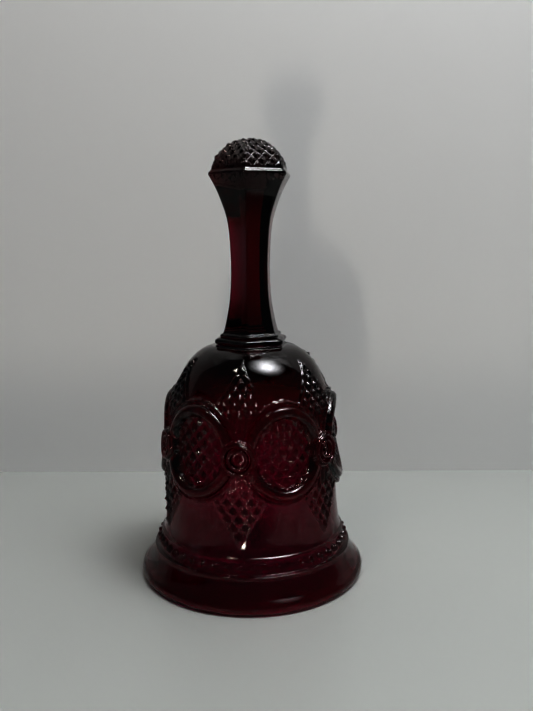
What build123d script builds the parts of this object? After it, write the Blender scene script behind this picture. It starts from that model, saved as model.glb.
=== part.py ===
from build123d import *

import os
from math import asin, degrees, sqrt

# A pressed-glass hand bell that stands on its rim, with a clapper on a short chain inside.
# Millimetres, +Z up. The origin is on the bell's axis, in the plane of the rim.
# Every pattern of the glass repeats six times round the axis. A boss faces -Y, and so does an
# edge of the hexagonal handle.

# Pattern
sides = 6  # repeats of the relief, and sides of the handle
step = 360 / sides
reach = 60.0  # further from the axis than any glass, for prisms cut through it

# Overall sizes of the glass
body_height = 89.0  # rim to the foot of the collar
stem_height = 76.0  # collar, handle and knob together
rim_radius = 43.4  # widest part of the flared foot

# Foot and bead band
rim_thickness = 7.0  # height of the rounded rim
rim_rounding = 1.0  # the flat land ends this far inside the widest part
rim_shoulder = 1.4  # the flare starts this far inside the widest part
rim_land = 2.6  # width of the flat ring that the bell stands on
foot_height = 11.6  # top of the plain flare
band_height = 5.8  # bead band, from lip to lip
band_depth = 0.6
band_lip = 0.7  # height of the slope at each lip
band_flare = 0.36  # share of the foot's flare that is left at the band's lower lip
bead_count = 48
bead_radius = 1.45
bead_proud = 0.8

# Wall
wall = 3.6
neck_radius = 35.4  # just above the band
waist_radius = 32.0  # half way up the wall
shoulder_radius = 30.2
crown_radius = 15.1  # where the shoulder ends, just outside the collar
shoulder_drop = 22.0  # height of the rounded shoulder
crown_glass = 8.5  # thickness of glass between the hollow and the collar
hollow_dome_drop = 9.6  # the hollow starts to round over this far below the shoulder
hollow_dome_gain = 0.9  # the hollow is this much wider there than the wall's thickness leaves

# Relief
ring_half_width = 17.3
ring_half_height = 18.8
ring_band = 6.0
ring_proud = 2.1
boss_radius = 5.4
boss_proud = 2.3
boss_recess_radius = 3.9
boss_recess = 0.7
boss_point_radius = 2.2
lozenge_proud = 0.9
lozenge_half_width = 8.4
upper_lozenge_gap = 4.4  # foot of the collar to the tip of the upper lozenge
lower_lozenge_gap = 4.5  # bead band to the tip of the lower lozenge
lozenge_wide = 12.6  # tip to the widest point

# Collar, handle and knob: half the distance across the flats of the hexagon
collar_flat = 12.8  # the bulge
collar_step = 12.4
collar_groove = 11.9
collar_ledge = 10.8
handle_root_flat = 9.6
handle_flat = 6.8  # the slimmest part
knob_flat = 14.2  # the widest part

# Collar, handle and knob: heights
stem_root = 2.0  # depth of the stem inside the shoulder
collar_height = 5.0
step_rise = 0.6  # height of the collar's lower step
groove_rise = 0.3  # height of the groove above it
bulge_height = 2.3
ledge_rise = 0.4  # height of the slope above the bulge
ledge_edge = 0.5  # height of the slope at the ledge's top
slim_share = 0.42  # the slimmest part's place along the handle
knob_height = 13.0  # widest edge to the top
dome_drop = 2.0  # the dome's centre lies this far below the widest edge

# Hanger in the crown
cement_radius = 4.5
cement_depth = 3.6
cement_bulge = 0.4  # the cement stands this far below the top of the hollow
shank_cover = 0.8  # cement above the hanger's shank

# Chain and clapper
wire = 1.1  # diameter of the wire of the eyes, the links and the pin
wire_play = 0.14  # gap between two wires that hang in each other
side_play = 0.8  # gap on each side of a wire inside a link
eye_radius = 1.9  # centre line of the eyes
eye_drop = 4.2  # top of the hollow to the middle of the hanger's eye
link_count = 6
ball_radius = 6.5
ball_height = 18.0  # centre of the ball above the rim
pin_drop = 17.0  # pin's pivot to the centre of the ball
bore_play = 0.1  # radial play of the ball, its cap and its washer on the pin
cap_radius = 2.6
cap_thickness = 0.6
washer_radius = 1.9
washer_thickness = 0.5
head_radius = 1.2
head_height = 0.8
head_rounding = 0.3

# Sizes and heights that follow
top = body_height + stem_height
band_top = foot_height + band_height
lip_radius = neck_radius + (rim_radius - neck_radius) * band_flare
shoulder_foot = body_height - shoulder_drop
boss_height = (band_top + body_height) / 2
hollow_top = body_height - crown_glass
hollow_dome_foot = shoulder_foot - hollow_dome_drop
eye_height = hollow_top - eye_drop
wire_offset = wire + wire_play  # between the centre lines of two wires that hang in each other
first_pivot = eye_height - eye_radius
last_pivot = ball_height + pin_drop
link_pitch = (first_pivot - last_pivot) / link_count
link_bend = wire / 2 + side_play  # centre line of a link's round ends
pin_eye_height = last_pivot + wire_offset - eye_radius
washer_low = ball_height - ball_radius - washer_thickness

standing = (Align.CENTER, Align.CENTER, Align.MIN)


def post(radius, low, high):
    """An upright round post on the axis between two heights."""
    return Pos(0, 0, low) * Cylinder(radius, high - low, align=standing)


def outline(*lines):
    """A face from lines, arcs and curves that meet end to end."""
    edges = [edge for line in lines for edge in line.edges()]
    return make_face(Wire(edges))


def turned(profile):
    """Turns a profile drawn as (radius, height) once round the bell's axis."""
    return revolve(Plane.XZ * profile, Axis.Z)


def six_times(shape, first_angle):
    """Copies of a shape that points along -Y, one per side, the first turned by an angle."""
    return [Rot(0, 0, first_angle + step * i) * shape for i in range(sides)]


def wall_line(outward=0.0):
    """The outer wall from the bead band up to the collar, moved outward by a distance."""
    points = [
        (neck_radius + outward, band_top),
        (waist_radius + outward, (band_top + shoulder_foot) / 2),
        (shoulder_radius + outward, shoulder_foot),
        (crown_radius + outward, body_height),
    ]
    rising = (waist_radius - neck_radius, (shoulder_foot - band_top) / 3)
    closing = (-1.0, 0.45)
    return Spline(*points, tangents=[rising, closing])


def radius_at(line, height):
    """Radius of a rising line of the profile at a height, found by halving."""
    low, high = 0.0, 1.0
    while high - low > 1e-6:
        middle = (low + high) / 2
        if line.position_at(middle).Y < height:
            low = middle
        else:
            high = middle
    return line.position_at(low).X


def outer_body():
    """The body's outside: rounded rim, flare, sunken bead band, wall and shoulder."""
    land_edge = (rim_radius - rim_rounding, 0)
    rim_side = (rim_radius, rim_thickness / 2)
    rim_top = (rim_radius - rim_shoulder, rim_thickness - rim_rounding)
    rim = ThreePointArc(land_edge, rim_side, rim_top)
    lip = (lip_radius, foot_height)
    flare = Spline(rim_top, lip, tangents=[rim % 1, (-0.7, 1)])
    slope = (lip_radius - neck_radius) / band_height
    floor_low = (lip_radius - band_depth - slope * band_lip, foot_height + band_lip)
    floor_high = (neck_radius - band_depth + slope * band_lip, band_top - band_lip)
    band = Polyline(lip, floor_low, floor_high, (neck_radius, band_top))
    closing = Polyline((crown_radius, body_height), (0, body_height), (0, 0), land_edge)
    return turned(outline(rim, flare, band, wall_line(), closing))


def relief_space(proud):
    """Everything inside the wall moved outward by a height of relief."""
    line = wall_line(proud)
    low = line @ 0
    high = line @ 1
    closing = Polyline((high.X, high.Y), (0, high.Y), (0, low.Y), (low.X, low.Y))
    return turned(outline(line, closing))


def raised(sketch, proud, first_angle):
    """Six prisms of a sketch, drawn as (across, height), that stand proud of the wall."""
    prism = extrude(Plane.XZ * sketch, reach)
    space = relief_space(proud)
    return [copy & space for copy in six_times(prism, first_angle)]


def rings():
    """Six broad oval rings between the bosses. Neighbours meet under each boss."""
    outer = Ellipse(ring_half_width, ring_half_height)
    inner = Ellipse(ring_half_width - ring_band, ring_half_height - ring_band)
    return raised(Pos(0, boss_height) * (outer - inner), ring_proud, step / 2)


def lozenges():
    """Kites above and below each boss, widest near their tips, that end behind the boss."""
    upper_tip = body_height - upper_lozenge_gap
    lower_tip = band_top + lower_lozenge_gap
    kites = []
    for tip, wide in ((upper_tip, upper_tip - lozenge_wide), (lower_tip, lower_tip + lozenge_wide)):
        corners = [(0, tip), (lozenge_half_width, wide), (0, boss_height), (-lozenge_half_width, wide)]
        kite = make_face(Polyline(*corners, close=True))
        kites += raised(kite, lozenge_proud, 0)
    return kites


def bosses():
    """Six round bosses with a raised edge, a sunken floor and a small point in the middle."""
    root = neck_radius - wall
    face = radius_at(wall_line(), boss_height) + boss_proud
    floor = face - boss_recess
    disc = extrude(Plane.XZ.offset(root) * Circle(boss_radius), face - root)
    disc -= extrude(Plane.XZ.offset(floor) * Circle(boss_recess_radius), boss_recess)
    disc += Plane.XZ.offset(floor) * Cone(boss_point_radius, 0, boss_recess, align=standing)
    return six_times(Pos(0, 0, boss_height) * disc, 0)


def beads():
    """A row of small round beads along the middle of the sunken band."""
    floor = (lip_radius + neck_radius) / 2 - band_depth
    distance = floor + bead_proud - bead_radius
    bead = Pos(0, -distance, foot_height + band_height / 2) * Sphere(bead_radius)
    return [Rot(0, 0, 360 / bead_count * i) * bead for i in range(bead_count)]


def stem():
    """Collar, waisted handle and knob with flat sides. One outline, seen square to a flat, is
    extruded right through, and the stem is what its three turned copies share."""
    low = body_height - stem_root
    step_top = body_height + step_rise
    groove_top = step_top + groove_rise
    bulge_top = groove_top + bulge_height
    collar_top = body_height + collar_height
    edge_height = top - knob_height
    foot = Polyline((0, low), (collar_step, low), (collar_step, step_top), (collar_groove, step_top))
    groove = Line((collar_groove, step_top), (collar_groove, groove_top))
    bulge_middle = (collar_flat, (groove_top + bulge_top) / 2)
    bulge = ThreePointArc((collar_groove, groove_top), bulge_middle, (collar_groove, bulge_top))
    ledge = Polyline(
        (collar_groove, bulge_top),
        (collar_ledge, bulge_top + ledge_rise),
        (collar_ledge, collar_top - ledge_edge),
        (handle_root_flat, collar_top),
    )
    slim_height = collar_top + slim_share * (edge_height - collar_top)
    handle = Spline(
        (handle_root_flat, collar_top),
        (handle_flat, slim_height),
        (knob_flat, edge_height),
        tangents=[(-0.35, 1), (0, 1), (0.62, 1)],
    )
    rise = knob_height + dome_drop
    dome_flat = knob_flat / sqrt(1 - (dome_drop / rise) ** 2)
    start = degrees(asin(dome_drop / rise))
    dome = EllipticalCenterArc((0, edge_height - dome_drop), dome_flat, rise, start, arc_size=90 - start)
    half = outline(foot, groove, bulge, ledge, handle, dome, Line((0, top), (0, low)))
    profile = half + mirror(half, Plane.YZ)
    slab = extrude(Plane.XZ * profile, reach / 2, both=True)
    shared = slab
    for i in range(1, sides // 2):
        shared = shared & (Rot(0, 0, step * i) * slab)
    return shared


def hollow():
    """The hollow that the pressing plunger leaves: flared mouth, tapered wall, domed top."""
    mouth = (rim_radius - rim_rounding - rim_land, 0)
    neck = (neck_radius - wall, band_top)
    shoulder = (shoulder_radius + hollow_dome_gain - wall, hollow_dome_foot)
    side = Spline(mouth, neck, shoulder, tangents=[(-1, 1), (-0.06, 1)])
    rise = hollow_top - hollow_dome_foot
    dome = EllipticalCenterArc((0, hollow_dome_foot), shoulder[0], rise, 0, arc_size=90)
    closing = Polyline((0, hollow_top), (0, 0), mouth)
    return turned(outline(side, dome, closing))


def cement_space():
    """The dimple at the top of the hollow, and the cement that stands a little below it."""
    return post(cement_radius, hollow_top - cement_bulge, hollow_top + cement_depth)


def glass_bell():
    """Body, relief, collar, handle and knob: one pressing."""
    solid = outer_body() + stem()
    for relief in rings() + lozenges() + bosses():
        solid = solid + relief
    return solid + beads() - hollow() - cement_space()


def eye(height):
    """A closed round eye of wire in the XZ plane, centred on the axis at a height."""
    return Pos(0, 0, height) * Rot(90, 0, 0) * Torus(eye_radius, wire / 2)


def quarter_turned(shape, index):
    """Each piece of the chain stands a quarter turn round from the one above it."""
    return Rot(0, 0, 90 * (index + 1)) * shape


def hanger_eye():
    """Wire eye with a shank up into the cement."""
    shank = post(wire / 2, eye_height + eye_radius, hollow_top + cement_depth - shank_cover)
    return eye(eye_height) + shank


def crown_cement():
    return cement_space() - hanger_eye()


def chain_link(index):
    """An oval link. It hangs in the wire above it and turns about that wire's centre line."""
    pivot = first_pivot - link_pitch * index
    upper = pivot + wire_offset - link_bend
    lower = pivot - link_pitch + link_bend
    end = revolve(Plane.XY * Pos(link_bend, 0) * Circle(wire / 2), Axis.Y, 180)
    link = Pos(0, 0, lower) * end + Pos(0, 0, upper) * Rot(0, 180, 0) * end
    for across in (-link_bend, link_bend):
        link += Pos(across, 0, 0) * post(wire / 2, lower, upper)
    return quarter_turned(link, index)


def clapper_pin():
    """Eye, shank through the ball, and the headed end that holds the washer."""
    head = post(head_radius, washer_low - head_height, washer_low)
    head = fillet(head.edges().group_by(Axis.Z)[0], head_rounding)
    shank = post(wire / 2, washer_low, pin_eye_height - eye_radius)
    return quarter_turned(eye(pin_eye_height), link_count) + shank + head


def bore():
    """The hole for the pin in what it carries."""
    return post(wire / 2 + bore_play, 0, 2 * ball_height)


def clapper_ball():
    return Pos(0, 0, ball_height) * Sphere(ball_radius) - bore()


def clapper_upper_cap():
    """A thin cap that follows the top of the ball."""
    shell = Sphere(ball_radius + cap_thickness) - Sphere(ball_radius)
    cap = shell & Cylinder(cap_radius, 2 * ball_radius, align=standing)
    return Pos(0, 0, ball_height) * cap - bore()


def clapper_washer():
    """A flat washer between the ball and the head of the pin."""
    return post(washer_radius, washer_low, washer_low + washer_thickness) - bore()


def write(node, shape):
    export_step(shape, f"parts/{node}.step")


def main():
    os.makedirs("parts", exist_ok=True)
    write("glass_bell", glass_bell())
    write("crown_cement", crown_cement())
    write("hanger_eye", hanger_eye())
    for index in range(link_count):
        write(f"chain_link_{index + 1}", chain_link(index))
    write("clapper_pin", clapper_pin())
    write("clapper_upper_cap", clapper_upper_cap())
    write("clapper_ball", clapper_ball())
    write("clapper_washer", clapper_washer())


main()
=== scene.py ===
import math

import bpy
import numpy as np
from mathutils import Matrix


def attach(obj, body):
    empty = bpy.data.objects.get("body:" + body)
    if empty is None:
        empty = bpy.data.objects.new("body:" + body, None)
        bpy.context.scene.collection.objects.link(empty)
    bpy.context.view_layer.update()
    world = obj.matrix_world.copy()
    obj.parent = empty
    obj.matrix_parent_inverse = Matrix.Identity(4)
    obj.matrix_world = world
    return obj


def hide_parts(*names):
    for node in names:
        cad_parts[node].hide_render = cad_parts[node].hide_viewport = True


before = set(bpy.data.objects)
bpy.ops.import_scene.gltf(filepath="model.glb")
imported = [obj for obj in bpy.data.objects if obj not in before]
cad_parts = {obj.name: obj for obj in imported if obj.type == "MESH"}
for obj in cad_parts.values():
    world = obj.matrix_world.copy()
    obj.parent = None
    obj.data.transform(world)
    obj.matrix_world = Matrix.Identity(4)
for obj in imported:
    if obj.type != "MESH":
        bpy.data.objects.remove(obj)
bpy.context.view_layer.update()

# A pressed ruby-glass hand bell. Lengths are in millimetres and turned to metres as meshes are made.
MM = 0.001
SIDES = 6
STEP = 2 * np.pi / SIDES
FRONT = -np.pi / 2  # a boss and an edge of the handle face -Y
VIEW_TURN = math.radians(7.02)  # the boss is seen a little left of straight on


# ---------------------------------------------------------------- helpers

def hexcol(code):
    """sRGB hex to linear RGBA."""
    part = np.array([int(code[i:i + 2], 16) / 255 for i in (1, 3, 5)])
    linear = np.where(part <= 0.04045, part / 12.92, ((part + 0.055) / 1.055) ** 2.4)
    return (*[float(v) for v in linear], 1.0)


def node(tree, kind, links=(), **settings):
    """Adds a node. Settings are input sockets by name (spaces as _) or the node's own properties;
    links are (input socket, source socket) pairs."""
    made = tree.nodes.new(kind)
    for name, value in settings.items():
        plain = name.replace("_", " ")
        if hasattr(made, name):
            setattr(made, name, value)
        else:
            made.inputs[plain].default_value = value
    for socket, source in links:
        tree.links.new(source, made.inputs[socket])
    return made


def material(name):
    """A new empty node material, its tree and its output node."""
    made = bpy.data.materials.new(name)
    made.use_nodes = True
    made.node_tree.nodes.clear()
    return made, made.node_tree, made.node_tree.nodes.new("ShaderNodeOutputMaterial")


def smoothstep(x):
    """0 below 0, 1 above 1, with a smooth cubic between."""
    x = np.clip(x, 0, 1)
    return x * x * (3 - 2 * x)


def smooth_line(points, count):
    """A smooth line through points: between neighbours the cubic whose end slopes point from the
    point before to the point after, count samples a span."""
    p = np.array(points, float)
    p = np.vstack([2 * p[0] - p[1], p, 2 * p[-1] - p[-2]])
    t = np.linspace(0, 1, count, endpoint=False)[None, :, None]
    a, b, c, d = (p[i:len(p) - 3 + i, None, :] for i in range(4))
    line = 0.5 * (2 * b + (c - a) * t + (2 * a - 5 * b + 4 * c - d) * t**2 + (3 * b - a - 3 * c + d) * t**3)
    return np.vstack([line.reshape(-1, p.shape[1]), p[-2]])


def along(line, lengths):
    """Points of a line at given lengths along it."""
    run = np.concatenate([[0], np.cumsum(np.linalg.norm(np.diff(line, axis=0), axis=1))])
    return np.column_stack([np.interp(lengths, run, line[:, i]) for i in range(line.shape[1])])


def length_of(line):
    """Length of a line of points."""
    return float(np.linalg.norm(np.diff(line, axis=0), axis=1).sum())


def mesh_object(name, points, faces, marks=None):
    """A mesh object from points in millimetres and a list of face arrays, shaded smooth. Marks
    are an "inside" value for each point."""
    mesh = bpy.data.meshes.new(name)
    mesh.from_pydata((points * MM).tolist(), [], [f for group in faces for f in group.tolist()])
    mesh.polygons.foreach_set("use_smooth", np.ones(len(mesh.polygons), bool))
    mesh.update()
    if marks is not None:
        mesh.attributes.new("inside", "FLOAT", "POINT").data.foreach_set("value", marks.astype(float))
    made = bpy.data.objects.new(name, mesh)
    bpy.context.collection.objects.link(made)
    return made


# ---------------------------------------------------------------- camera

def camera():
    """Stands in front of the bell, a little above its middle, and looks slightly down."""
    turn = VIEW_TURN
    pitch = math.radians(9.49)
    distance, height, aside = 277.3, 131.0, 6.04
    data = bpy.data.cameras.new("view")
    data.sensor_width = 36
    data.lens = 37.03
    data.clip_start = 0.01
    data.clip_end = 20
    made = bpy.data.objects.new("view", data)
    right = np.array([math.cos(turn), math.sin(turn), 0])
    back = np.array([math.sin(turn), -math.cos(turn), 0])
    place = (distance * back + aside * right + np.array([0, 0, height])) * MM
    made.location = place
    made.rotation_euler = (math.pi / 2 - pitch, math.radians(0.21), turn)
    bpy.context.collection.objects.link(made)
    bpy.context.scene.camera = made


# ---------------------------------------------------------------- the glass: profiles

# Outside of the body, rim to collar, as (radius, height).
OUTSIDE = [
    (42.3, 0.0), (43.1, 0.6), (43.45, 1.7), (43.45, 2.9), (43.15, 3.85), (42.5, 4.5), (41.6, 5.3),
    (40.2, 7.2), (38.9, 9.6), (37.9, 11.6), (36.5, 14.1), (35.35, 17.0), (34.6, 19.0), (34.0, 22.0),
    (33.2, 30.0), (32.6, 40.0), (32.0, 50.0), (31.2, 60.0), (30.6, 66.0), (29.7, 70.0), (27.7, 76.0),
    (24.6, 82.0), (20.9, 86.0), (17.8, 88.0), (15.1, 88.9),
]
# Inside of the hollow, rim to crown.
INSIDE = [
    (39.8, 0.0), (37.6, 3.2), (34.9, 9.0), (32.9, 14.0), (31.6, 18.5), (30.2, 26.0), (29.2, 38.0),
    (28.3, 50.0), (27.4, 59.0), (25.4, 67.0), (21.6, 73.2), (15.5, 77.6), (9.6, 79.7), (4.55, 80.3),
]
# Collar and handle, as (half the distance across the flats, height).
COLLAR = [
    (12.45, 88.95), (12.55, 89.15), (12.5, 89.55), (11.95, 89.75), (11.9, 89.95), (12.4, 90.15),
    (12.8, 90.7), (12.75, 91.4), (12.2, 92.0), (11.2, 92.3), (10.7, 92.5), (10.9, 92.75), (10.95, 93.2),
    (10.6, 93.6), (9.95, 93.85),
]
HANDLE = [
    (9.75, 94.1), (9.2, 96.0), (8.4, 100.0), (7.7, 104.0), (7.15, 109.0), (6.87, 116.0), (6.9, 122.0),
    (7.25, 129.5), (7.85, 135.0), (8.8, 139.0), (9.9, 142.3), (11.25, 146.0), (12.9, 149.6), (13.8, 151.2),
]
KNOB_EDGE = [(14.1, 151.75), (14.22, 152.1), (14.15, 152.6), (13.95, 152.95), (13.2, 153.85), (13.15, 154.2)]
DOME_FLAT, DOME_RISE, DOME_CENTRE = 13.7, 15.0, 150.0

CROWN = 88.9  # top of the body's outside, under the collar
BAND_TOP = 18.2  # just above the bead band
DIMPLE_RADIUS, DIMPLE_MIDDLE, DIMPLE_TOP = 4.55, 82.0, 84.12  # the dimple that holds the cement
RING_HEIGHT, RING_RADIUS = 54.3, 32.1  # rings' middles: height, and distance from the axis
BOSS_HEIGHT, BOSS_RADIUS = 53.4, 34.0  # the same for the bosses
BEAD_HEIGHT, BEAD_RADIUS = 14.55, 36.3  # the same for the beads
SEAM_RADIUS = 30.0  # mean distance of the mould seams from the axis
FLANGE = 6.75  # radius of a boss's flange
FINE_AREA = 6.9  # the body's mesh is finer this near to the middle of a boss
FIELD_ROW = 0.54  # row spacing in the rings' height; five rows are half a diamond
HALF_DIAMOND = 5  # columns, and rows, between one diamond point in a ring and the next beside it
LOZENGE_COLUMNS = 4  # the same in the lozenges
UPPER_PITCH, LOWER_PITCH = 2.75, 3.1  # between two rows of diamond points in the lozenges
UPPER_FIRST, LOWER_FIRST = 83.3, 24.3  # heights of the points nearest the lozenges' tips
# Lozenges above and below the bosses: heights of the tip and of the widest point, half the width
# in degrees, millimetres that the edge lies in from the outline for a share of 1, the side of
# the boss, the first row of points and the spacing of the rows.
KITES = (
    (85.4, 71.4, 17.0, 7.8, 1, UPPER_FIRST, UPPER_PITCH),
    (21.6, 36.4, 16.2, 7.7, -1, LOWER_FIRST, LOWER_PITCH),
)
COLUMNS = 384  # round the body
STEM_COLUMNS = COLUMNS // 2
HOLLOW_COLUMNS = COLUMNS // 4
BEADS = 48
KNOB_ARC = 14.6  # mean radius of the knob's dome
KNOB_PITCH = 2.05  # half a diamond on the knob


def pyramids(u, v, sharp=14):
    """Diamond points. Tips stand where u and v are whole and both even or both odd; each falls
    evenly to 0 along the diamond halfway to its neighbours. Returns 0 to 1."""
    a, b = (u + v) / 2, (u - v) / 2
    a, b = np.abs(a - np.round(a)), np.abs(b - np.round(b))
    far = (a**sharp + b**sharp) ** (1 / sharp)
    return np.clip(1 - 2 * far, 0, 1)


def arch(x):
    """A rounded hump: 1 in the middle, 0 from -1 and 1 outwards."""
    return np.sqrt(np.clip(1 - np.abs(x) ** 2.2, 0, 1))


def oval_share(x, y, a0, b0, band):
    """Which oval of a family a point is on: 0 on the inner (a0, b0), 1 on the outer (a0 + band,
    b0 + band), found by halving."""
    low, high = np.full(x.shape, -1.5), np.full(x.shape, 3.0)
    for _ in range(18):
        t = (low + high) / 2
        outside = (x / (a0 + band * t)) ** 2 + (y / (b0 + band * t)) ** 2 > 1
        low, high = np.where(outside, t, low), np.where(outside, high, t)
    return (low + high) / 2


def lozenges(turn, height):
    """Diamond points above and below each boss: a kite with its tip away from the boss, a
    bevelled raised edge, and upright reeds where the rings squeeze it to a neck."""
    across = np.abs(np.degrees(turn))
    columns = np.degrees(turn) * COLUMNS / 360
    h = np.zeros(np.broadcast(turn, height).shape)
    for tip, wide, half_width, scale, side, first, pitch in KITES:
        inside = ((tip - height) / (tip - wide) - across / half_width) * scale
        inside = np.where((height - BOSS_HEIGHT) * side > 0, inside, -1.0)
        points = pyramids(columns / LOZENGE_COLUMNS, (climb(height) - climb(first)) / pitch)
        field = 0.2 + 1.45 * points * smoothstep((inside - 0.7) / 0.3)
        neck = smoothstep((15.0 - np.abs(height - BOSS_HEIGHT)) / 3.0)
        reeds = 0.3 + 0.9 * (0.5 + 0.5 * np.cos(2 * np.pi * columns / LOZENGE_COLUMNS))
        field = field * (1 - neck) + reeds * neck
        edge = 0.8 * arch((inside - 0.4) / 0.4)
        h = np.maximum(h, np.where(inside > 0, np.maximum(field * smoothstep(inside / 0.5), edge), 0))
    return h


def rings(turn, height, row, ground):
    """Oval rings between the bosses: a rounded band, a thin ridge on a low step round it, and a
    sunken field of diamond points inside."""
    from_ring = np.abs(turn) - STEP / 2
    x = from_ring * RING_RADIUS
    y = height - RING_HEIGHT
    share = oval_share(x, y, 10.8, 12.3, 6.0)
    crest = arch((share - 0.4) / 0.38)
    step = 0.35 * smoothstep((1.03 - share) / 0.04) + 1.3 * arch((share - 0.93) / 0.09)
    band = np.maximum(step, 2.9 * crest * (share < 0.84))
    columns = np.degrees(from_ring) * COLUMNS / 360
    points = pyramids(columns / HALF_DIAMOND, (row - RING_ROW) / HALF_DIAMOND)
    field = -0.55 + 1.65 * points * smoothstep((-share * 6.0 + 0.25) / 0.5)
    return np.where(share <= 0, field, np.where(share > 1.03, ground, band))


def bosses(turn, height, ground):
    """A round boss over the joint of two rings: a low flange, then two rounded rings one inside
    the other with a groove between them, a sunken floor and a small point in the middle."""
    away = np.hypot(turn * BOSS_RADIUS, height - BOSS_HEIGHT)
    flange = 2.1 * smoothstep((FLANGE - away) / 0.35)
    rims = np.maximum(3.6 * arch((away - 5.1) / 0.9), 3.4 * arch((away - 3.1) / 0.8))
    point = 3.1 * np.sqrt(np.clip(1 - (away / 1.3) ** 2, 0, 1))
    boss = np.maximum(np.maximum(np.where(away > 5.9, flange, 1.3), rims), point)
    return np.where(away < FLANGE, np.maximum(boss, 0.25 * ground * (away > 5.9)), ground)


def bead_band(turn, height):
    """A sunken floor between two thin lips, with a round bead at each spacing."""
    floor = -0.75 * smoothstep((height - 12.1) / 0.35) * smoothstep((17.0 - height) / 0.35)
    lips = 0.5 * (arch((height - 11.7) / 0.55) + arch((height - 17.4) / 0.55))
    spacing = 2 * np.pi / BEADS
    beside = (turn / spacing - np.round(turn / spacing)) * spacing * BEAD_RADIUS
    away = np.hypot(beside, (height - BEAD_HEIGHT) * 1.12)
    bead = 1.9 * np.sqrt(np.clip(1 - (away / 1.25) ** 2, 0, 1))
    return floor + lips + bead


def mould_seam(turn_all, height):
    """The fine upright line left where the mould's three blocks met, on every other boss line."""
    third = 2 * np.pi / 3
    beside = (turn_all / third - np.round(turn_all / third)) * third * SEAM_RADIUS
    wander = 0.12 * np.sin(height * 0.35) + 0.07 * np.sin(height * 1.1)
    return 0.16 * np.exp(-((beside - wander) / 0.3) ** 2)


def relief(turn_all, height, row):
    """Height of the relief over the wall, in mm, at an angle from the front boss, a height and a
    row of the surface."""
    turn = (turn_all + STEP / 2) % STEP - STEP / 2
    h = lozenges(turn, height)
    h = rings(turn, height, row, h)
    h = bosses(turn, height, h)
    plain = (height > BAND_TOP) & (np.abs(h) < 0.05)
    return h + bead_band(turn, height) + mould_seam(turn_all, height) * plain


def climb(height):
    """Length along the body's profile from the rim up to a height."""
    line = smooth_line(OUTSIDE, 24)
    run = np.concatenate([[0], np.cumsum(np.hypot(*np.diff(line, axis=0).T))])
    return np.interp(height, line[:, 1], run)


def height_at(length):
    """Height at a length along the body's profile from the rim."""
    line = smooth_line(OUTSIDE, 24)
    return np.interp(length, climb(line[:, 1]), line[:, 1])


def row_heights():
    """Heights of the body's rows: close in the foot's edge, the bead band and the rings, and a
    quarter of a diamond point apart in the lozenges beyond the rings."""
    foot = 6.0 * (1 - np.cos(np.linspace(0, np.pi / 2, 11, endpoint=False)))
    ring_zone = RING_HEIGHT + FIELD_ROW * np.arange(-34, 35)
    low = climb(LOWER_FIRST) + LOWER_PITCH / 4 * np.arange(-4, 40)
    low = height_at(low[low < climb(ring_zone[0]) - 0.3])
    high = climb(UPPER_FIRST) + UPPER_PITCH / 4 * np.arange(-40, 12)
    high = height_at(high[(high > climb(ring_zone[-1]) + 0.3) & (high < climb(CROWN) - 0.3)])
    return np.concatenate([
        foot, np.linspace(6.0, 11.0, 6, endpoint=False), np.linspace(11.0, BAND_TOP, 23),
        np.linspace(BAND_TOP, low[0], 5)[1:-1], low, ring_zone, high, [CROWN],
    ])


ROWS = row_heights()
RING_ROW = float(np.interp(RING_HEIGHT, ROWS, np.arange(len(ROWS))))


def body_points(row, column):
    """Points of the body's outside at rows and columns, halves too: the profile turned round,
    each point moved out along the profile's normal by the relief. At the bead band the columns
    crowd together on the beads: the angle less a share of the sine of its place between beads."""
    line = smooth_line(OUTSIDE, 24)
    index = np.arange(len(ROWS))
    heights = np.interp(row, index, ROWS)[:, None]
    radii = np.interp(heights, line[:, 1], line[:, 0])
    slope = np.interp(row, index, np.gradient(np.interp(ROWS, line[:, 1], line[:, 0]), ROWS))[:, None]
    out_r, out_z = 1 / np.hypot(1, slope), -slope / np.hypot(1, slope)
    even = 2 * np.pi * column[None, :] / COLUMNS
    crowd = 0.5 * smoothstep((heights - 10.6) / 1.4) * smoothstep((19.6 - heights) / 1.4)
    turn_all = even - crowd * np.sin(BEADS * even) / BEADS
    h = relief(turn_all, heights, row[:, None])
    h = h * smoothstep((90.0 - heights) / 1.0)
    r = radii + h * out_r
    z = heights + h * out_z
    turns = FRONT + turn_all
    return np.stack([r * np.cos(turns), r * np.sin(turns), z], axis=-1)


def hexagon(flats, turns):
    """Radius of a hexagon with its corners towards the bosses, softly rounded at the corners:
    the smooth lesser of the flat's own radius and a circle just inside the corners."""
    from_flat = (turns - FRONT) % STEP - STEP / 2
    flat = flats / np.cos(from_flat)
    circle = flats / np.cos(STEP / 2) * 0.985
    sharp = 14.0
    return -np.log(np.exp(-sharp * flat) + np.exp(-sharp * circle)) / sharp + np.log(2) / sharp * 0.15


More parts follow.
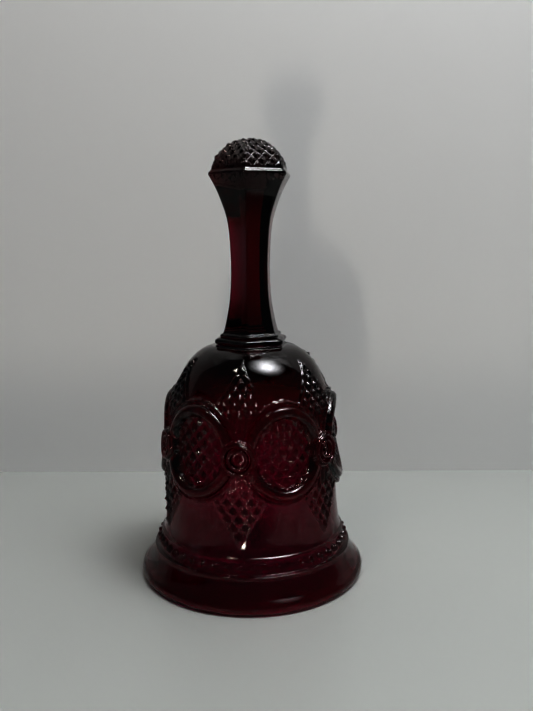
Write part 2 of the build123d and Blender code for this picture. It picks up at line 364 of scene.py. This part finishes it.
def stem_surface():
    """Collar, handle and knob: rows of hexagons, then a domed top of six curved sides whose
    points are moved out along the dome's own normal by diamond points."""
    turns = FRONT + 2 * np.pi * np.arange(STEM_COLUMNS) / STEM_COLUMNS
    rows = np.vstack([
        smooth_line(COLLAR, 2),
        along(smooth_line(HANDLE, 12), np.linspace(0, length_of(smooth_line(HANDLE, 12)), 23)),
        smooth_line(KNOB_EDGE, 2),
    ])
    r = hexagon(rows[:, :1], turns[None, :])
    lower = np.stack([r * np.cos(turns), r * np.sin(turns), np.repeat(rows[:, 1:], STEM_COLUMNS, 1)], axis=-1)

    start = math.asin((KNOB_EDGE[-1][1] - DOME_CENTRE) / DOME_RISE)
    row_turn = KNOB_PITCH / KNOB_ARC / 5
    count = int((np.pi / 2 - start) / row_turn)
    tilt = (np.pi / 2 - row_turn * np.arange(count, 0, -1))[:, None]
    flat = DOME_FLAT * np.cos(tilt)
    z = DOME_CENTRE + DOME_RISE * np.sin(tilt)
    from_flat = ((turns - FRONT) % STEP - STEP / 2)[None, :]
    across = flat * np.tan(from_flat)
    up = KNOB_ARC * (np.pi / 2 - tilt)
    points = pyramids(across / KNOB_PITCH, up / KNOB_PITCH)
    fade = smoothstep((z - KNOB_EDGE[-1][1] - 0.5) / 0.6)
    h = (0.95 * points - 0.25) * fade
    out = np.stack(np.broadcast_arrays(np.cos(tilt) / DOME_FLAT, np.sin(tilt) / DOME_RISE))
    out = out / np.linalg.norm(out, axis=0)
    r = hexagon(flat, turns[None, :]) + h * out[0]
    z = z + h * out[1]
    dome = np.stack([r * np.cos(turns), r * np.sin(turns), z * np.ones_like(r)], axis=-1)
    return np.concatenate([lower, dome])


def turned_surface(line, columns):
    """A profile line turned once round the axis: a row of points for each point of the line."""
    turns = FRONT + 2 * np.pi * np.arange(columns) / columns
    r, z = line[:, :1], line[:, 1:]
    return np.stack([r * np.cos(turns), r * np.sin(turns), z * np.ones_like(turns)], axis=-1)


def sheet_faces(first, rows, columns, flip=False):
    """Quads between neighbouring rows of a closed band of points."""
    i = np.arange(rows - 1)[:, None] * columns
    j = np.arange(columns)[None, :]
    k = (j + 1) % columns
    quads = np.stack([i + j, i + k, i + columns + k, i + columns + j], axis=-1).reshape(-1, 4) + first
    return quads[:, ::-1] if flip else quads


def straighter(surface, quads):
    """Whether each quad's first diagonal lies in the direction in which the surface bends less.
    Bend is the size of the point before, less twice the point, plus the one after."""
    before, after = np.roll(surface, 1, axis=1), np.roll(surface, -1, axis=1)
    rising, falling = (np.zeros(surface.shape[:2]) for _ in range(2))
    rising[1:-1] = np.linalg.norm(before[:-2] - 2 * surface[1:-1] + after[2:], axis=2)
    falling[1:-1] = np.linalg.norm(after[:-2] - 2 * surface[1:-1] + before[2:], axis=2)
    rising, falling = rising.ravel()[quads], falling.ravel()[quads]
    return rising[:, 0] + rising[:, 2] <= falling[:, 1] + falling[:, 3]


def creased_faces(surface):
    """Triangles between the rows of a surface, each quad split along its straighter diagonal, so
    that the valley between two diamond points stays one straight line."""
    quads = sheet_faces(0, *surface.shape[:2])
    split = straighter(surface, quads)[:, None]
    one = np.where(split, quads[:, [0, 1, 2]], quads[:, [0, 1, 3]])
    other = np.where(split, quads[:, [0, 2, 3]], quads[:, [1, 2, 3]])
    return np.concatenate([one, other])


def finer_faces(fine, fine_quads):
    """Points and triangles of a surface known at half rows and columns. Quads marked as fine
    become a fan about their middle with each side in two; a quad beside one is a fan too, with
    only the shared sides in two; the rest are two triangles."""
    rows, columns = fine_quads.shape
    used = np.zeros(fine.shape[:2], bool)
    used[::2, ::2] = True
    upright = fine_quads | np.roll(fine_quads, 1, axis=1)
    level = np.zeros((rows + 1, columns), bool)
    level[:-1] |= fine_quads
    level[1:] |= fine_quads
    used[1::2, ::2] = upright
    used[::2, 1::2] = level
    fan = upright | np.roll(upright, -1, axis=1) | level[:-1] | level[1:]
    used[1::2, 1::2] = fan
    number = np.cumsum(used.ravel()).reshape(used.shape) - 1
    coarse = fine[::2, ::2]
    quads = sheet_faces(0, *coarse.shape[:2])
    plain = ~fan.ravel()
    split = straighter(coarse, quads)[plain, None]
    quads = number[::2, ::2].ravel()[quads][plain]
    groups = [
        np.where(split, quads[:, [0, 1, 2]], quads[:, [0, 1, 3]]),
        np.where(split, quads[:, [0, 2, 3]], quads[:, [1, 2, 3]]),
    ]
    i, j = np.nonzero(fan)
    i, j, around = 2 * i, 2 * j, 2 * columns
    steps = ((0, 0), (0, 1), (0, 2), (1, 2), (2, 2), (2, 1), (2, 0), (1, 0))
    ring = [(i + up, (j + on) % around) for up, on in steps]
    middle = number[i + 1, j + 1]
    for k in (0, 2, 4, 6):
        start, half, end = ring[k], ring[k + 1], ring[(k + 2) % 8]
        a, m, c = number[start], number[half], number[end]
        cut = used[half]
        groups.append(np.stack([a[~cut], c[~cut], middle[~cut]], axis=-1))
        groups.append(np.stack([a[cut], m[cut], middle[cut]], axis=-1))
        groups.append(np.stack([m[cut], c[cut], middle[cut]], axis=-1))
    return fine[used], np.concatenate(groups), number[[0, -1], ::2]


def zip_faces(fine, coarse):
    """Triangles between a ring of points and one with a whole number of times fewer points. The
    first ring is the lower or outer one."""
    times = len(fine) // len(coarse)
    j = np.arange(len(coarse))
    low, high = coarse[j], coarse[(j + 1) % len(coarse)]
    groups = []
    for k in range(times):
        a, b = fine[j * times + k], fine[(j * times + k + 1) % len(fine)]
        groups.append(np.stack([a, b, low if k < times / 2 else high], axis=-1))
        if k == max(times // 2 - 1, 0):
            groups.append(np.stack([low, b, high], axis=-1))
    return np.concatenate(groups)


def cap_faces(ring, pole, flip=False):
    """Triangles from a ring to one point."""
    tris = np.stack([ring, np.roll(ring, -1), np.full(len(ring), pole)], axis=-1)
    return tris[:, ::-1] if flip else tris


def glass_bell():
    """One closed surface: body, stem, top, and the hollow with its dimple for the cement. The
    body is finer at the bosses."""
    row, column = np.arange(2 * len(ROWS) - 1) / 2, np.arange(2 * COLUMNS) / 2
    heights = np.interp(row[1::2], np.arange(len(ROWS)), ROWS)[:, None]
    turn = (2 * np.pi * column[None, 1::2] / COLUMNS + STEP / 2) % STEP - STEP / 2
    near_boss = np.hypot(turn * BOSS_RADIUS, heights - BOSS_HEIGHT) < FINE_AREA
    body, body_faces, body_ends = finer_faces(body_points(row, column), near_boss)
    stem = stem_surface()
    inside = smooth_line(INSIDE, 3)
    dimple = np.array([(DIMPLE_RADIUS, DIMPLE_MIDDLE), (DIMPLE_RADIUS, DIMPLE_TOP)])
    hollow = turned_surface(np.vstack([inside, dimple]), HOLLOW_COLUMNS)
    stem_start = len(body)
    hollow_start = stem_start + stem.shape[0] * STEM_COLUMNS
    top = hollow_start + hollow.shape[0] * HOLLOW_COLUMNS
    points = np.vstack([
        body, stem.reshape(-1, 3), hollow.reshape(-1, 3),
        [[0, 0, DOME_CENTRE + DOME_RISE]], [[0, 0, DIMPLE_TOP]],
    ])
    foot, crown = body_ends
    stem_foot = stem_start + np.arange(STEM_COLUMNS)
    hollow_foot = hollow_start + np.arange(HOLLOW_COLUMNS)
    faces = [
        body_faces,
        zip_faces(crown, stem_foot),
        creased_faces(stem) + stem_start,
        cap_faces(np.arange(hollow_start - STEM_COLUMNS, hollow_start), top),
        sheet_faces(hollow_start, hollow.shape[0], HOLLOW_COLUMNS, flip=True),
        cap_faces(np.arange(top - HOLLOW_COLUMNS, top), top + 1, flip=True),
        zip_faces(foot, hollow_foot)[:, ::-1],
    ]
    inside = np.zeros(len(points))
    inside[hollow_start:top] = 1
    inside[top + 1] = 1
    return mesh_object("ruby_glass_bell", points, faces, inside)


# ---------------------------------------------------------------- materials

def noise(tree, scale, detail, roughness):
    """Noise that lies in the piece's own space."""
    place = node(tree, "ShaderNodeTexCoord")
    made = node(
        tree, "ShaderNodeTexNoise", [("Vector", place.outputs["Object"])],
        Scale=scale, Detail=detail, Roughness=roughness,
    )
    return made.outputs["Fac"]


def ramp(tree, value, low, high):
    """A colour that runs between two, each given as (place, hex colour)."""
    made = node(tree, "ShaderNodeValToRGB", [("Fac", value)])
    for stop, (place, colour) in zip(made.color_ramp.elements, (low, high)):
        stop.position = place
        stop.color = hexcol(colour)
    return made.outputs["Color"]


def spread(tree, value, **ends):
    """A value moved from one range to another. Ends are From_Min, From_Max, To_Min and To_Max."""
    return node(tree, "ShaderNodeMapRange", [("Value", value)], **ends).outputs["Result"]


def scaled(tree, value, factor):
    """A value times a constant."""
    made = node(tree, "ShaderNodeMath", [(0, value)], operation="MULTIPLY")
    made.inputs[1].default_value = factor
    return made.outputs["Value"]


def bump(tree, height, strength, distance, under=None):
    """Fine relief from a height, over another one where there is one."""
    links = [("Height", height)] + ([("Normal", under)] if under else [])
    return node(tree, "ShaderNodeBump", links, Strength=strength, Distance=distance).outputs["Normal"]


def principled(tree, out, colour, roughness, normal, **settings):
    """The surface shader, with its roughness a constant or a socket."""
    links = [("Base Color", colour)] + ([("Normal", normal)] if normal else [])
    if isinstance(roughness, float):
        settings["Roughness"] = roughness
    else:
        links.append(("Roughness", roughness))
    shader = node(tree, "ShaderNodeBsdfPrincipled", links, **settings)
    tree.links.new(shader.outputs["BSDF"], out.inputs["Surface"])
    return shader.outputs["BSDF"]


def ruby_glass():
    """Pressed ruby glass: fire-polished outside, duller inside where the plunger pressed it, with
    a slow ripple from the mould and faint smears. Its depth of colour is in the volume."""
    made, tree, out = material("pressed_ruby_glass")
    smear = noise(tree, 38.0, 5.0, 0.62)
    gloss = spread(tree, smear, From_Min=0.35, From_Max=0.75, To_Min=0.02, To_Max=0.07)
    side = node(tree, "ShaderNodeAttribute", attribute_name="inside")
    dull = scaled(tree, side.outputs["Fac"], 0.3)
    rough = node(tree, "ShaderNodeMath", [(0, gloss), (1, dull)], operation="ADD").outputs["Value"]
    ripple = bump(tree, noise(tree, 70.0, 2.0, 0.5), 0.22, 0.0006)
    grain = bump(tree, noise(tree, 900.0, 2.0, 0.6), 0.1, 0.00005, ripple)
    tint = ramp(tree, smear, (0.3, "#f3dede"), (0.75, "#ffffff"))
    principled(tree, out, tint, rough, grain, IOR=1.52, Transmission_Weight=1.0)
    depth = node(tree, "ShaderNodeVolumeAbsorption", Color=(0.835, 0.0, 0.56, 1.0), Density=900.0)
    tree.links.new(depth.outputs["Volume"], out.inputs["Volume"])
    return made


def plated_metal(name, colour, rough, scratch):
    """Nickel plate on steel: bright, a little warm, with fine rubbed marks and dull spots."""
    made, tree, out = material(name)
    rub = noise(tree, scratch, 6.0, 0.7)
    tone = ramp(tree, rub, (0.3, "#8d8a84"), (0.7, colour))
    dull = spread(tree, rub, To_Min=rough + 0.15, To_Max=rough)
    principled(tree, out, tone, dull, bump(tree, rub, 0.15, 0.00005), Metallic=1.0)
    return made


def set_cement():
    """Plaster-like cement: matt, off-white, slightly gritty."""
    made, tree, out = material("set_cement")
    grit = noise(tree, 1400.0, 4.0, 0.65)
    tone = ramp(tree, grit, (0.0, "#8f877a"), (1.0, "#d8d2c4"))
    principled(tree, out, tone, 0.85, bump(tree, grit, 0.5, 0.0001))
    return made


def stage_paint(name, colour, rough):
    """Plain pale matt paint with a very slight change of tone. It is clear from the back, so that
    the bell can be seen from behind and from below."""
    made, tree, out = material(name)
    tone = node(
        tree, "ShaderNodeMixRGB", [("Fac", noise(tree, 3.0, 2.0, 0.5))], blend_type="MIX",
        Color1=hexcol(colour), Color2=tuple(c * 0.97 for c in hexcol(colour)[:3]) + (1.0,),
    )
    front = principled(tree, out, tone.outputs["Color"], rough, None)
    clear = node(tree, "ShaderNodeBsdfTransparent").outputs["BSDF"]
    side = node(tree, "ShaderNodeNewGeometry").outputs["Backfacing"]
    both = node(tree, "ShaderNodeMixShader", [(0, side), (1, front), (2, clear)])
    tree.links.new(both.outputs["Shader"], out.inputs["Surface"])
    return made


# ---------------------------------------------------------------- stage and light

def plane(name, corners, paint):
    """A flat sheet of the stage, which is not part of the bell."""
    mesh = bpy.data.meshes.new(name)
    mesh.from_pydata(corners, [], [(0, 1, 2, 3)])
    made = bpy.data.objects.new(name, mesh)
    made.data.materials.append(paint)
    bpy.context.collection.objects.link(made)
    return made


def seen(aside, back, up):
    """A place in metres given as the viewer sees it: right, away from them, up."""
    return (
        aside * math.cos(VIEW_TURN) - back * math.sin(VIEW_TURN),
        aside * math.sin(VIEW_TURN) + back * math.cos(VIEW_TURN),
        up,
    )


def soft_panel(name, place, half, strength, colour):
    """A glowing sheet that fades to nothing towards its edge, so that its reflection has no hard
    outline. It faces the bell's middle, and the camera doesn't see it directly. Half holds its
    half sizes along and across."""
    made, tree, out = material(name)
    spot = node(tree, "ShaderNodeTexCoord").outputs["Object"]
    shape = node(tree, "ShaderNodeTexGradient", [("Vector", spot)], gradient_type="QUADRATIC_SPHERE")
    power = scaled(tree, shape.outputs["Fac"], strength)
    glow = node(tree, "ShaderNodeEmission", [("Strength", power)], Color=hexcol(colour))
    tree.links.new(glow.outputs["Emission"], out.inputs["Surface"])
    sheet = plane(name, [(-1, -1, 0), (1, -1, 0), (1, 1, 0), (-1, 1, 0)], made)
    place = np.array(place)
    look = np.array([0, 0, 0.06]) - place
    look = look / np.linalg.norm(look)
    sheet.location = place
    sheet.rotation_euler = (math.acos(-look[2]), 0, math.atan2(look[1], look[0]) - math.pi / 2)
    sheet.scale = (half[0], half[1], 1)
    sheet.visible_camera = False


def studio():
    """A small pale table against a pale wall, a wide soft light overhead to the right, a narrower
    one to the left, and two weak low ones for the handle's facets."""
    table = stage_paint("pale_table", "#a9aba8", 0.4)
    wall = stage_paint("pale_wall", "#e6e6e4", 0.5)
    near, far, side, top = -0.14, 0.115, 0.6, 0.9
    left, right = seen(-side, far, 0), seen(side, far, 0)
    plane("table", [seen(-side, near, 0), seen(side, near, 0), right, left], table)
    plane("wall", [left, right, seen(side, far, top), seen(-side, far, top)], wall)
    soft_panel("overhead_light", seen(0.29, -0.16, 0.9), (0.4, 0.42), 36.5, "#fbfcff")
    soft_panel("left_light", seen(-0.26, -0.28, 0.9), (0.09, 0.13), 60.0, "#fff8ee")
    soft_panel("window", seen(-0.95, -0.3, 0.02), (0.4, 0.4), 0.8, "#e6e9ff")
    soft_panel("low_window", seen(-0.13, -0.75, -0.13), (0.05, 0.12), 90.0, "#fff8ee")
    world = bpy.data.worlds.new("room")
    world.use_nodes = True
    world.node_tree.nodes["Background"].inputs["Color"].default_value = hexcol("#bcc0c8")
    world.node_tree.nodes["Background"].inputs["Strength"].default_value = 0.22
    bpy.context.scene.world = world
    bpy.context.scene.view_settings.view_transform = "Standard"
    bpy.context.scene.view_settings.gamma = 0.6  # deepens the darks and leaves the lights


# ---------------------------------------------------------------- build

camera()
studio()

bell = glass_bell()
bell.data.materials.append(ruby_glass())
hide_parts("glass_bell")
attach(bell, "bell")

wire = plated_metal("nickel_plated_wire", "#d9d5cb", 0.22, 1500.0)
cap = plated_metal("nickel_plated_pressing", "#dedad0", 0.18, 900.0)
steel = plated_metal("polished_nickel_ball", "#e6e3da", 0.08, 420.0)
finishes = {
    "crown_cement": set_cement(), "clapper_ball": steel,
    "clapper_upper_cap": cap, "clapper_washer": cap,
}
for name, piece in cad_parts.items():
    if name == "glass_bell":
        continue
    paint = finishes.get(name, wire)
    for holder in piece.material_slots:
        holder.material = paint
